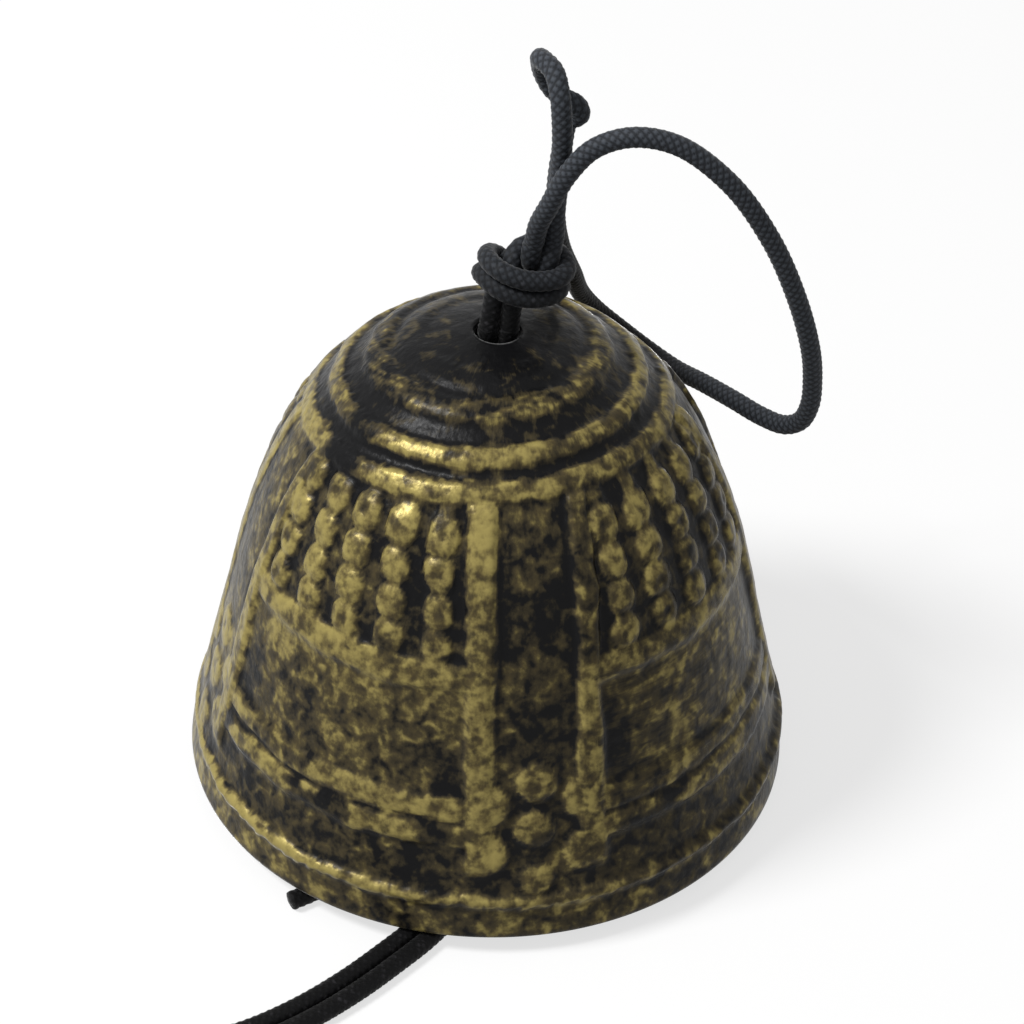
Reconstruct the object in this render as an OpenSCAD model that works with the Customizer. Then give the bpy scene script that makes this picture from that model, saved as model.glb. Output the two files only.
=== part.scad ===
// Small cast-iron wind chime in the form of a temple bell, with a braided hanging loop
// knotted through its crown and a round clapper inside. It stands on its rim, and leans
// a little because the clapper's cords lie under the near side of the rim.
// Millimetres, +Z up, z = 0 is the surface it stands on.

/* [Bell casting] */
// Diameter across the rim
rim_d = 65; // [58:0.5:75]
// Height of the casting, from the rim to the top of the crown
bell_h = 54.2; // [50:0.1:66]
// Radius of the waist, which the rim flares from and the dome closes
waist_r = 27.5; // [25:0.1:29]
// Height over which the flare dies away
flare_h = 15; // [10:0.5:20]
// Wall thickness at the rim and waist
wall = 3; // [2.8:0.1:3.6]
// Thickness of the crown at the cord hole
crown_t = 3.6; // [2.6:0.1:5]
// Diameter of the cord hole through the crown
hole_d = 5; // [4.6:0.1:6]
// Radius on the outer edge of the rim
rim_round = 0.7; // [0.4:0.1:1.5]

/* [Cast relief] */
// Height of the rim band's raised edge above the rim
lip_z = 4.8; // [4:0.1:6]
// Height of the lower skirt ridge above the rim
skirt_z = 12; // [10:0.1:13]
// Distance between the two skirt ridges
skirt_pitch = 3; // [2.4:0.1:4]
// Height of the ledge under the boss panels
ledge_z = 30.5; // [27:0.1:31.5]
// Radius of the border ring over the boss panels
border_r = 17.2; // [16.4:0.1:18]
// Distance between the dome's ridges, measured inwards from the border ring
dome_pitch = 3.3; // [2.8:0.1:3.6]
// How far a ridge stands out
ridge_rise = 0.6; // [0.3:0.05:0.8]
// Half the width of a ridge
ridge_half_w = 1; // [0.7:0.05:1.1]
// Width of a vertical rib
rib_w = 2.2; // [1.4:0.1:3]
// How far a rib stands out
rib_rise = 0.7; // [0.4:0.05:1]
// Angle between the two ribs of a vertical band
band_angle = 24; // [20:1:26]
// Direction that the vertical bands start from
band_turn = 11; // [0:1:89]
// Radius of a boss
boss_r = 1.65; // [1.3:0.05:1.75]
// How far a boss stands out
boss_rise = 0.7; // [0.6:0.05:1.2]
// Angle between the columns of bosses
boss_angle = 12; // [10:0.5:13]
// Distance between the rows of bosses, measured up the axis
boss_pitch = 3.65; // [3.3:0.05:3.8]
// Height of the lowest row of bosses above the ledge
boss_start = 2.1; // [1.9:0.1:2.6]
// Distance of a rosette's petals from its middle
petal_ring_r = 5.6; // [4.6:0.1:6]
// Radius of a rosette's middle and of each petal
petal_r = 1.7; // [1.4:0.05:2]
// How far a petal stands out
petal_rise = 0.8; // [0.4:0.05:1]
// Height of the middle of a rosette above the rim
rosette_z = 12.8; // [12:0.1:14]

/* [Clapper] */
// Diameter of the clapper disc
clapper_d = 22; // [16:0.5:24]
// Thickness of the clapper disc
clapper_t = 3.5; // [2.5:0.1:5]
// Height of the disc's underside above the surface
clapper_z = 10.5; // [9.5:0.1:14]
// Radius on the edges of the disc
clapper_round = 1; // [0.4:0.1:1.2]

/* [Cord] */
// Diameter of the braided cord
cord_d = 2; // [1.8:0.05:2.1]
// Room between two strands that lie side by side
strand_gap = 0.04; // [0:0.01:0.1]
// Room between the rim and the cords under it
rest_gap = 0.05; // [0:0.01:0.1]
// Room between a knot and the casting it sits on
seat_gap = 0.3; // [0.2:0.05:0.5]
// Direction in which the clapper's doubled cord passes under the rim
pair_az = 262; // [255:1:270]
// Direction in which the cord's cut end passes under the rim
tail_az = 233; // [225:1:240]

/* [Hidden] */
$fn = 96;

cord_r = cord_d / 2;
strand_off = cord_r + strand_gap / 2;

// The outer surface: a waist that flares at the rim and closes in a superellipse dome.
dome_power = 3.2;
flare_power = 1.5;
flare = rim_d / 2 - waist_r;
function skin_r(z, waist, height) =
  (waist + flare * exp(-pow(z / flare_h, flare_power)))
  * sqrt(max(0, 1 - pow(z / height, dome_power)));
function dome_z(r, waist, height) = height * pow(1 - pow(r / waist, 2), 1 / dome_power);
function bell_r(z) = skin_r(z, waist_r, bell_h);
function bell_z(r) = dome_z(r, waist_r, bell_h);

// The inner surface keeps the wall's thickness, and the crown's at the top.
hollow_h = bell_h - crown_t;
hollow_waist_r = waist_r - wall;
function hollow_z(r) = dome_z(r, hollow_waist_r, hollow_h);

// The bell stands on the far edge of its rim and on the cords under the near side.
foot_r = rim_d / 2 - rim_round;
mouth_r = rim_d / 2 - wall;
lean_az = (pair_az + tail_az) / 2 - 180;
near_r = mouth_r * cos((pair_az - tail_az) / 2);
lean = asin((cord_d + rest_gap) / (foot_r + near_r));
lift = foot_r * sin(lean);
function on_axis(h) = [
  h * sin(lean) * cos(lean_az), h * sin(lean) * sin(lean_az), h * cos(lean) + lift,
];

// A wrap of cord round two strands that lie side by side.
wrap_r = 2 * cord_r + strand_gap + cord_r;
wrap_pitch = cord_d + strand_gap;
stopper_top = hollow_z(wrap_r) - seat_gap;
stopper_bottom = stopper_top - 2 * cord_d - strand_gap;
neck_top = bell_z(hole_d / 2) + seat_gap;
pivot_z = stopper_bottom - seat_gap - cord_r;
pivot = on_axis(pivot_z);
knot_top = clapper_z - rest_gap;
knot_bottom = knot_top - 2 * cord_d - strand_gap;

// Routes of the cords, in millimetres. The loop's is measured from the bell's own axis
// and the top of its crown; the others from the surface it stands on.
over_crown = [
  [5.3, 0.3, 10.8], [5.3, 0.2, 13.3], [5.4, 0, 15.8], [5.6, -0.5, 18.8], [5.7, -0.9, 21.8],
  [5.6, -1, 24.8], [5.3, -0.4, 27.5], [4.7, 1.2, 29.1], [3.5, 3.4, 29.2], [3.4, 5.4, 27.9],
  [3.7, 6.8, 25.8], [4.6, 7.1, 23.9], [5.8, 7.1, 22.8], [7.1, 7.2, 22], [7.5, 7.5, 20.7],
  [6.4, 7.9, 19.7], [5.9, 8.2, 16.6], [5.5, 8, 12.3], [5.5, 8.4, 8.3], [6.2, 11.2, 2.8],
  [7.7, 15.6, -3.6], [8.8, 20, -9], [10.7, 22.4, -12.8], [13.3, 22.8, -15.4],
  [16.4, 21.2, -17], [19.4, 18, -17.2], [22.2, 14, -16.1], [25.2, 10, -15.3], [28, 6.8, -15],
  [30.2, 4.6, -14.4], [31.7, 3.3, -12.9], [32.4, 2.2, -10], [32.3, 1.2, -6],
  [31.6, -0.2, -1.2], [29.6, -1.6, 5.8], [26.4, -2.6, 13.3], [22, -3, 19.8], [16.8, -3, 23.9],
  [12.4, -3, 24.7], [8.8, -2.9, 23.3], [6.3, -2.8, 20.2], [4.7, -2.1, 16.2], [3.7, -1.2, 13.3],
  [3.3, -0.5, 10.8],
];
loop_route = [for (p = over_crown) p + [0, 0, bell_h]];
strip_start = [pivot.x, pivot.y, knot_bottom - seat_gap];
strip_route = [
  strip_start, [0.6, 1.1, 4.4], [0.6, -0.2, 2.5], [0.6, -2.4, 1.3], [0.7, -5.5, 1], [0.7, -11, 1],
  [0.2, -16, 1], [-0.9, -21, 1], [-3, -26, 1], [-6.1, -30.6, 1], [-9.2, -34.1, 1],
  [-13, -38, 1], [-17.6, -41.9, 1], [-22.6, -45.1, 1], [-28, -47.4, 1],
];
strip_bight = [
  [-32.4, -48, 1], [-36.4, -49, 1], [-39.7, -50.8, 1], [-41.3, -53.3, 1], [-40.2, -55.8, 1],
  [-37.4, -56.4, 1], [-34.4, -54.9, 1], [-31.2, -51.8, 1],
];
tail_step = 2.2;
tail_route = [
  [pivot.x, pivot.y + tail_step, knot_bottom - seat_gap], [0.3, 3.5, 4.3], [-0.9, 3.2, 2.5],
  [-2.9, 2.2, 1.3], [-5.4, 0, 1], [-8.2, -4.6, 1], [-10.2, -10, 1], [-12.2, -15.6, 1],
  [-14.4, -20.6, 1], [-17.1, -24.5, 1], [-19.9, -26.4, 1],
];

// Sweeps a tube with flat ends along a list of points, one ring on each point. The ring's
// sides are carried along from a first direction that no route starts in.
tube_sides = 8;
first_side = [0.31, 0.95, 0.02];
function unit(v) = v / norm(v);
function along(pts, i) = unit(pts[min(i + 1, len(pts) - 1)] - pts[max(i - 1, 0)]);
function across(v, t) = unit(v - (v * t) * t);
function side_list(pts, i = 0, made = []) =
  i == len(pts) ? made
  : side_list(pts, i + 1, concat(made, [
      across(i == 0 ? first_side : made[i - 1], along(pts, i))
    ]));
module tube(pts, d) {
  sides = side_list(pts);
  rings = [
    for (i = [0 : len(pts) - 1], k = [0 : tube_sides - 1])
      let (t = along(pts, i), n = sides[i], b = cross(t, n), a = 360 * k / tube_sides)
        pts[i] + d / 2 * (cos(a) * n + sin(a) * b)
  ];
  last = (len(pts) - 1) * tube_sides;
  polyhedron(rings, concat(
    [[for (k = [0 : tube_sides - 1]) k]],
    [[for (k = [0 : tube_sides - 1]) last + tube_sides - 1 - k]],
    [
      for (i = [0 : len(pts) - 2], k = [0 : tube_sides - 1])
        let (a = i * tube_sides + k, b = i * tube_sides + (k + 1) % tube_sides)
          each [[a, a + tube_sides, b + tube_sides], [a, b + tube_sides, b]]
    ]
  ));
}

// Moves each point of a flat route sideways, to the left of the way it runs.
function beside(pts, off) = [
  for (i = [0 : len(pts) - 1])
    let (t = along(pts, i), s = i == 0 ? [1, 0, 0] : unit(cross([0, 0, 1], t)))
      pts[i] + off * s
];
function reversed(pts) = [for (i = [len(pts) - 1 : -1 : 0]) pts[i]];

// Places children that are measured from the bell's own rim and axis.
module in_bell() {
  translate([0, 0, lift])
    rotate([0, 0, lean_az]) rotate([0, lean, 0]) rotate([0, 0, -lean_az])
      children();
}

// Places children that hang straight below the clapper's pivot.
module below_pivot(z) {
  translate([pivot.x, pivot.y, z]) children();
}

// Places children on a point of the bell's outer surface, with +X pointing out of it.
module on_skin(az, z) {
  rotate([0, 0, az]) translate([bell_r(z), 0, z]) children();
}

// Heights of a ridge's outline points, and how far the skin stands out there.
function ridge_steps(at) = [for (k = [-1, -0.4, 0.4, 1]) at + k * ridge_half_w];
function boss_z(row) = ledge_z + boss_start + boss_pitch * row;
side_ridges = [lip_z, skirt_z, skirt_z + skirt_pitch, ledge_z];
dome_ridges = [for (k = [0 : 3]) border_r - k * dome_pitch];
function swell(at, centres) =
  max([for (c = centres) ridge_rise * pow(cos(min(90, 90 * abs(at - c) / ridge_half_w)), 2)]);

panel_top = bell_z(border_r);
plain_bottom = skirt_z + skirt_pitch + ridge_half_w;
plain_top = ledge_z - ridge_half_w;
plain_steps = 5;
side_steps = concat(
  [rim_round, (rim_round + lip_z) / 2], ridge_steps(lip_z),
  [(lip_z + skirt_z) / 2], ridge_steps(skirt_z), ridge_steps(skirt_z + skirt_pitch),
  [for (k = [1 : plain_steps - 1]) plain_bottom + k * (plain_top - plain_bottom) / plain_steps],
  ridge_steps(ledge_z), [for (k = [0 : 2]) boss_z(k + 0.5)]
);
dome_steps = [for (r = dome_ridges, s = reversed(ridge_steps(r))) s];
hollow_turn_r = hollow_waist_r * 0.86;
hollow_steps = 8;
shell_outline = concat(
  [[mouth_r, 0], [foot_r, 0]],
  [for (a = [-60 : 30 : -30]) [foot_r + rim_round * cos(a), rim_round * (1 + sin(a))]],
  [for (z = side_steps) [bell_r(z) + swell(z, side_ridges), z]],
  [for (r = dome_steps) [r, bell_z(r) + swell(r, dome_ridges)]],
  [[hole_d / 2, bell_z(hole_d / 2)], [hole_d / 2, hollow_z(hole_d / 2)]],
  [for (k = [1 : hollow_steps])
    let (r = hole_d / 2 + k * (hollow_turn_r - hole_d / 2) / hollow_steps) [r, hollow_z(r)]],
  [for (k = [1 : hollow_steps]) let (z = hollow_z(hollow_turn_r) * (1 - k / (hollow_steps + 1)))
    [skin_r(z, hollow_waist_r, hollow_h), z]]
);

// The vertical ribs follow the skin from below the skirt to the border ring.
rib_bottom = skirt_z - skirt_pitch;
rib_sink = 1;
rib_steps = 5;
rib_zs = [for (k = [0 : rib_steps]) rib_bottom + k * (panel_top - rib_bottom) / rib_steps];
rib_outline = concat(
  [for (z = rib_zs) [bell_r(z) + rib_rise, z]],
  [[bell_r(panel_top) - rib_sink, panel_top], [bell_r(rib_bottom) - rib_sink, rib_bottom]]
);

module ribs() {
  intersection() {
    rotate_extrude() polygon(rib_outline);
    for (band = [0 : 3], side = [-1, 1])
      rotate([0, 0, band_turn + 90 * band + side * band_angle / 2])
        translate([border_r / 2, -rib_w / 2, 0]) cube([rim_d / 2, rib_w, bell_h]);
  }
}

// A round boss with a bevelled top, standing out along +X from the skin.
boss_shoulder = 0.4;
boss_flat = 0.6;
module boss(r, rise) {
  rotate([0, 90, 0]) rotate_extrude()
    polygon([
      [0, -rise], [r, -rise], [r, rise * boss_shoulder], [r * boss_flat, rise], [0, rise],
    ]);
}

module bosses() {
  for (panel = [0 : 3], column = [-2 : 2], row = [0 : 3])
    on_skin(band_turn + 45 + 90 * panel + boss_angle * column, boss_z(row)) boss(boss_r, boss_rise);
}

module rosettes() {
  for (band = [0 : 3]) {
    on_skin(band_turn + 90 * band, rosette_z) boss(petal_r, petal_rise);
    for (a = [30 : 60 : 330])
      let (z = rosette_z + petal_ring_r * sin(a))
        on_skin(band_turn + 90 * band + petal_ring_r * cos(a) * 180 / (PI * bell_r(z)), z)
          boss(petal_r, petal_rise);
  }
}

// Cast body: shell, ridges, vertical bands, bosses and rosettes in one piece.
module bell_shell() {
  color([0.2, 0.19, 0.14]) in_bell() {
    rotate_extrude() polygon(shell_outline);
    ribs();
    bosses();
    rosettes();
  }
}

// One turn of cord round a strand pair, lying flat.
cord_facets = 32;
module wrap() {
  rotate_extrude() translate([wrap_r, 0]) circle(r = cord_r, $fn = cord_facets);
}

// A straight stretch of cord.
module strand(from, to) {
  d = to - from;
  translate(from)
    rotate([0, acos(d.z / norm(d)), atan2(d.y, d.x)])
      cylinder(h = norm(d), r = cord_r, $fn = cord_facets);
}

// Knot on top of the crown: both strands are tied together in one overhand knot. Each row is
// a point halfway between the strands, measured from the top of the crown, and the way from
// it to the strand that starts on the right and leaves on the left.
knot_route = [
  [[0.3, 0.2, 1.8], [1, 0, 0]], [[0.5, 0.4, 4], [1, -0.2, 0]], [[0.7, 0.2, 6.2], [0.8, -0.5, 0]],
  [[1, 0.6, 7.9], [0.7, -0.7, 0.1]], [[2.3, 2.3, 8.8], [0.3, -0.3, 0.9]],
  [[4.4, 2.9, 8.3], [0, 0, 1]], [[6, 1.1, 7.4], [0, 0, 1]], [[5.8, -1.4, 6.7], [0, 0, 1]],
  [[3.9, -2.8, 6.4], [0, 0, 1]], [[1.5, -3.1, 6.8], [0, 0, 1]], [[-0.7, -2.3, 7.6], [0, 0, 1]],
  [[-1.7, -0.3, 7.8], [0, 0, 1]], [[-1.3, 1.9, 6.8], [0, 0, 1]], [[0.5, 2.9, 5.4], [0, 0, 1]],
  [[2.5, 2, 4.7], [-0.1, 0.3, 0.9]], [[3.5, 0.2, 6], [-0.6, 0.7, 0.4]],
  [[3.8, -0.6, 8.4], [-0.9, 0.1, 0]],
];
exit_left = loop_route[len(loop_route) - 1];
exit_right = loop_route[0];

// A bead of cord, and a run of cord that bends round a bead on each of its inner points.
bead_facets = 8;
module bead(at) {
  translate(at) sphere(r = cord_r, $fn = bead_facets);
}
module tied(pts) {
  last = len(pts) - 1;
  strand(pts[0], pts[1]);
  for (i = [1 : last - 2]) hull() {
    bead(pts[i]);
    bead(pts[i + 1]);
  }
  strand(pts[last - 1], pts[last]);
}
module crown_knot() {
  color([0.06, 0.06, 0.07]) in_bell()
    for (side = [-1, 1])
      tied(concat(
        [[side * strand_off, 0, neck_top]],
        [for (row = knot_route) [0, 0, bell_h] + row[0] + side * strand_off * unit(row[1])],
        [side < 0 ? exit_right : exit_left]
      ));
}

module hanging_loop() {
  color([0.08, 0.08, 0.09]) in_bell() tube(loop_route, cord_d);
}

// The two strands that pass through the hole in the crown.
module neck_cords() {
  color([0.08, 0.08, 0.09]) in_bell()
    for (x = [-strand_off, strand_off])
      strand([x, 0, stopper_top], [x, 0, neck_top]);
}

// Knot under the crown, which the bell hangs on.
module stopper_knot() {
  color([0.06, 0.06, 0.07]) in_bell() {
    for (x = [-strand_off, strand_off]) strand([x, 0, stopper_bottom], [x, 0, stopper_top]);
    for (k = [0, 1]) translate([0, 0, stopper_bottom + cord_r + k * wrap_pitch]) wrap();
  }
}

// The two strands that the clapper hangs on, down to its knot.
module clapper_line() {
  color([0.08, 0.08, 0.09])
    for (y = [-strand_off, strand_off]) {
      below_pivot(0) strand([0, y, knot_top], [0, y, pivot.z]);
      below_pivot(pivot.z) translate([0, y, 0]) sphere(r = cord_r, $fn = cord_facets);
    }
}

// A flat disc with round edges and the cord hole through its middle.
function clapper_edge(a, z) =
  [clapper_d / 2 - clapper_round + clapper_round * cos(a), z + clapper_round * sin(a)];
clapper_outline = concat(
  [[hole_d / 2, 0]],
  [for (a = [-90 : 30 : 0]) clapper_edge(a, clapper_round)],
  [for (a = [0 : 30 : 90]) clapper_edge(a, clapper_t - clapper_round)],
  [[hole_d / 2, clapper_t]]
);
module clapper() {
  color([0.16, 0.15, 0.13]) below_pivot(clapper_z) rotate_extrude() polygon(clapper_outline);
}

// Knot under the clapper, which carries it.
module clapper_knot() {
  color([0.06, 0.06, 0.07]) below_pivot(0) {
    for (y = [-strand_off, strand_off]) strand([0, y, knot_bottom], [0, y, knot_top]);
    for (k = [0, 1]) translate([0, 0, knot_bottom + cord_r + k * wrap_pitch]) wrap();
  }
}

// The doubled cord for the paper strip: out under the rim, round its end and back.
pair_off = strand_off + strand_gap;
module strip_cord() {
  color([0.08, 0.08, 0.09])
    tube(concat(beside(strip_route, -pair_off), strip_bight,
                reversed(beside(strip_route, pair_off))), cord_d);
}

module tail_cord() {
  color([0.08, 0.08, 0.09]) tube(tail_route, cord_d);
}

bell_shell();
crown_knot();
hanging_loop();
neck_cords();
stopper_knot();
clapper_line();
clapper();
clapper_knot();
strip_cord();
tail_cord();
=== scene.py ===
"""Looks of the small cast-iron wind bell: a gilt casting with its paint rubbed thin, braided cord and
its knots.

Sizes below are in millimetres, as in the part's own source, and become metres in the meshes.
Points of the casting and of the cord above it are measured in the bell's own frame (its axis
and its rim), which leans a little, because the cords lie under the near side of the rim.
"""

import math

import bpy
import numpy as np
from mathutils import Matrix, Vector


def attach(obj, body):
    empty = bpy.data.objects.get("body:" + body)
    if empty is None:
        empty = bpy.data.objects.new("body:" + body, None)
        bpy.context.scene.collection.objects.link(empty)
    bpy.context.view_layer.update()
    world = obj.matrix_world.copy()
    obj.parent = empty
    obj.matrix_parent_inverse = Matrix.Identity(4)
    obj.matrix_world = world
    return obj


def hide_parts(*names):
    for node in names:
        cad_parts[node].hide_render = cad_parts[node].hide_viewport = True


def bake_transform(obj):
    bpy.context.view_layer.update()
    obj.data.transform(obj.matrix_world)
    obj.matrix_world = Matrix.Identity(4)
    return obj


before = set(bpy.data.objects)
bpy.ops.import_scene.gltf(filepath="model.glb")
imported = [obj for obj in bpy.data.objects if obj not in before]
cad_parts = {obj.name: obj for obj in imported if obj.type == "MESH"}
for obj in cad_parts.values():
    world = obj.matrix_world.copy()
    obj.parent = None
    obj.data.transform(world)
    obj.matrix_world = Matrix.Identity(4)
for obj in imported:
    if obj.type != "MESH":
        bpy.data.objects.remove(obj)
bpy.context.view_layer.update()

MM = 0.001

# ---------------------------------------------------------------- sizes, as in the CAD source
RIM_D, BELL_H, WAIST_R, FLARE_H = 65, 54.2, 27.5, 15
WALL, CROWN_T, HOLE_D, RIM_ROUND = 3, 3.6, 5, 0.7
LIP_Z, SKIRT_Z, SKIRT_PITCH, LEDGE_Z = 4.8, 12, 3, 30.5
BORDER_R = 17.2
RIB_RISE, BAND_ANGLE, BAND_TURN = 0.7, 24, 11
BOSS_RISE, BOSS_ANGLE, BOSS_PITCH, BOSS_START = 0.7, 12, 3.65, 2.1
PETAL_RING_R, PETAL_R, PETAL_RISE, ROSETTE_Z = 5.6, 1.7, 0.8, 12.8
CLAPPER_D, CLAPPER_T, CLAPPER_Z = 22, 3.5, 10.5
CORD_D, STRAND_GAP, REST_GAP, SEAT_GAP = 2, 0.04, 0.05, 0.3
PAIR_AZ, TAIL_AZ = 262, 233
DOME_POWER, FLARE_POWER = 3.2, 1.5

CORD_R = CORD_D / 2
STRAND_OFF = CORD_R + STRAND_GAP / 2
PAIR_OFF = STRAND_OFF + STRAND_GAP
WRAP_R = 3 * CORD_R + STRAND_GAP
FLARE = RIM_D / 2 - WAIST_R
FOOT_R = RIM_D / 2 - RIM_ROUND
MOUTH_R = RIM_D / 2 - WALL
HOLLOW_H = BELL_H - CROWN_T
HOLLOW_WAIST_R = WAIST_R - WALL

LEAN_AZ = math.radians((PAIR_AZ + TAIL_AZ) / 2 - 180)
NEAR_R = MOUTH_R * math.cos(math.radians(PAIR_AZ - TAIL_AZ) / 2)
LEAN = math.asin((CORD_D + REST_GAP) / (FOOT_R + NEAR_R))
IN_BELL = (
    Matrix.Translation((0, 0, FOOT_R * math.sin(LEAN)))
    @ Matrix.Rotation(LEAN_AZ, 4, "Z")
    @ Matrix.Rotation(LEAN, 4, "Y")
    @ Matrix.Rotation(-LEAN_AZ, 4, "Z")
)


def bell_to_row(points):
    """Points of the bell's own frame, in millimetres, as points of the row frame."""
    turn = np.array(IN_BELL)
    return np.asarray(points, float) @ turn[:3, :3].T + turn[:3, 3]


def skin_r(z, waist, height):
    """Radius of the casting's plain surface at a height."""
    flared = waist + FLARE * np.exp(-((z / FLARE_H) ** FLARE_POWER))
    return flared * np.sqrt(np.maximum(0, 1 - (z / height) ** DOME_POWER))


def dome_z(r, waist, height):
    """Height of the dome at a radius."""
    return height * (1 - (r / waist) ** 2) ** (1 / DOME_POWER)


PANEL_TOP = dome_z(BORDER_R, WAIST_R, BELL_H)
NECK_TOP = dome_z(HOLE_D / 2, WAIST_R, BELL_H) + SEAT_GAP
STOPPER_TOP = dome_z(WRAP_R, HOLLOW_WAIST_R, HOLLOW_H) - SEAT_GAP
STOPPER_BOTTOM = STOPPER_TOP - 2 * CORD_D - STRAND_GAP
PIVOT = bell_to_row([0, 0, STOPPER_BOTTOM - SEAT_GAP - CORD_R])
KNOT_TOP = CLAPPER_Z - REST_GAP
KNOT_BOTTOM = KNOT_TOP - 2 * CORD_D - STRAND_GAP

# ---------------------------------------------------------------- camera
CAMERA_PLACE = (3.4, -266.1, 254.5)
CAMERA_AIM = (2.4, 13.9, 21.0)
CAMERA_ROLL = 0.96
CAMERA_LENS, CAMERA_SENSOR = 116.3, 36


def make_camera():
    """The main view, from above the near side and a long way off."""
    data = bpy.data.cameras.new("camera")
    data.lens, data.sensor_width = CAMERA_LENS, CAMERA_SENSOR
    data.clip_start, data.clip_end = 0.01, 10
    camera = bpy.data.objects.new("camera", data)
    bpy.context.scene.collection.objects.link(camera)
    place, aim = Vector(CAMERA_PLACE) * MM, Vector(CAMERA_AIM) * MM
    turned = (aim - place).to_track_quat("-Z", "Y").to_matrix().to_4x4()
    roll = Matrix.Rotation(math.radians(CAMERA_ROLL), 4, "Z")
    camera.matrix_world = Matrix.Translation(place) @ turned @ roll
    bpy.context.scene.camera = camera


make_camera()

# ---------------------------------------------------------------- cord routes, as in the CAD source
LOOP_ROUTE = [
    (5.3, 0.3, 65), (5.3, 0.2, 67.5), (5.4, 0, 70), (5.6, -0.5, 73), (5.7, -0.9, 76),
    (5.6, -1, 79), (5.3, -0.4, 81.7), (4.7, 1.2, 83.3), (3.5, 3.4, 83.4), (3.4, 5.4, 82.1),
    (3.7, 6.8, 80), (4.6, 7.1, 78.1), (5.8, 7.1, 77), (7.1, 7.2, 76.2), (7.5, 7.5, 74.9),
    (6.4, 7.9, 73.9), (5.9, 8.2, 70.8), (5.5, 8, 66.5), (5.5, 8.4, 62.5), (6.2, 11.2, 57),
    (7.7, 15.6, 50.6), (8.8, 20, 45.2), (10.7, 22.4, 41.4), (13.3, 22.8, 38.8),
    (16.4, 21.2, 37.2), (19.4, 18, 37), (22.2, 14, 38.1), (25.2, 10, 38.9), (28, 6.8, 39.2),
    (30.2, 4.6, 39.8), (31.7, 3.3, 41.3), (32.4, 2.2, 44.2), (32.3, 1.2, 48.2),
    (31.6, -0.2, 53), (29.6, -1.6, 60), (26.4, -2.6, 67.5), (22, -3, 74), (16.8, -3, 78.1),
    (12.4, -3, 78.9), (8.8, -2.9, 77.5), (6.3, -2.8, 74.4), (4.7, -2.1, 70.4),
    (3.7, -1.2, 67.5), (3.3, -0.5, 65),
]
# Where the loop comes from and goes on to, inside the crown knot.
LOOP_BEFORE, LOOP_AFTER = (4.6, 0.2, 62.6), (2.6, -0.4, 62.6)
STRIP_START = (PIVOT[0], PIVOT[1], KNOT_BOTTOM - SEAT_GAP)
STRIP_ROUTE = [
    STRIP_START, (0.6, 1.1, 4.4), (0.6, -0.2, 2.5), (0.6, -2.4, 1.3), (0.7, -5.5, 1),
    (0.7, -11, 1), (0.2, -16, 1), (-0.9, -21, 1), (-3, -26, 1), (-6.1, -30.6, 1),
    (-9.2, -34.1, 1), (-13, -38, 1), (-17.6, -41.9, 1), (-22.6, -45.1, 1), (-28, -47.4, 1),
]
STRIP_BIGHT = [
    (-32.4, -48, 1), (-36.4, -49, 1), (-39.7, -50.8, 1), (-41.3, -53.3, 1), (-40.2, -55.8, 1),
    (-37.4, -56.4, 1), (-34.4, -54.9, 1), (-31.2, -51.8, 1),
]
TAIL_BEHIND = 2.2
TAIL_ROUTE = [
    (PIVOT[0], PIVOT[1] + TAIL_BEHIND, KNOT_BOTTOM - SEAT_GAP), (0.3, 3.5, 4.3), (-0.9, 3.2, 2.5),
    (-2.9, 2.2, 1.3), (-5.4, 0, 1), (-8.2, -4.6, 1), (-10.2, -10, 1), (-12.2, -15.6, 1),
    (-14.4, -20.6, 1), (-17.1, -24.5, 1), (-19.9, -26.4, 1),
]


# ---------------------------------------------------------------- numbers and lines
def unit(v):
    """Vectors made one long."""
    return v / np.linalg.norm(v, axis=-1, keepdims=True)


def ramp(x, low, high):
    """0 up to low, 1 from high on, smooth between; low may be above high."""
    t = np.clip((x - low) / (high - low), 0, 1)
    return t * t * (3 - 2 * t)


def run_along(line):
    """How far along a line each of its points lies."""
    return np.concatenate([[0], np.cumsum(np.linalg.norm(np.diff(line, axis=0), axis=1))])


def even(line, step, count=None):
    """The same line with its points this far apart, or this many of them."""
    run = run_along(line)
    at = np.linspace(0, run[-1], count or max(4, round(run[-1] / step)))
    return np.stack([np.interp(at, run, line[:, k]) for k in range(3)], axis=1)


def smooth_line(points, step, before=None, after=None):
    """A smooth line through the points, in rings a step apart: centripetal Catmull-Rom.
    before and after are where it would come from and go on to."""
    p = np.asarray(points, float)
    before = 2 * p[0] - p[1] if before is None else before
    after = 2 * p[-1] - p[-2] if after is None else after
    p = np.concatenate([[before], p, [after]])
    knots = np.concatenate([[0], np.cumsum(np.linalg.norm(np.diff(p, axis=0), axis=1) ** 0.5)])
    parts = []
    for i in range(1, len(p) - 2):
        t0, t1, t2, t3 = knots[i - 1 : i + 3]
        t = np.linspace(t1, t2, 24, endpoint=False)[:, None]
        a1 = (t1 - t) / (t1 - t0) * p[i - 1] + (t - t0) / (t1 - t0) * p[i]
        a2 = (t2 - t) / (t2 - t1) * p[i] + (t - t1) / (t2 - t1) * p[i + 1]
        a3 = (t3 - t) / (t3 - t2) * p[i + 1] + (t - t2) / (t3 - t2) * p[i + 2]
        b1 = (t2 - t) / (t2 - t0) * a1 + (t - t0) / (t2 - t0) * a2
        b2 = (t3 - t) / (t3 - t1) * a2 + (t - t1) / (t3 - t1) * a3
        parts.append((t2 - t) / (t2 - t1) * b1 + (t - t1) / (t2 - t1) * b2)
    dense = np.concatenate(parts + [p[-2:-1]])
    return even(dense, step)


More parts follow.
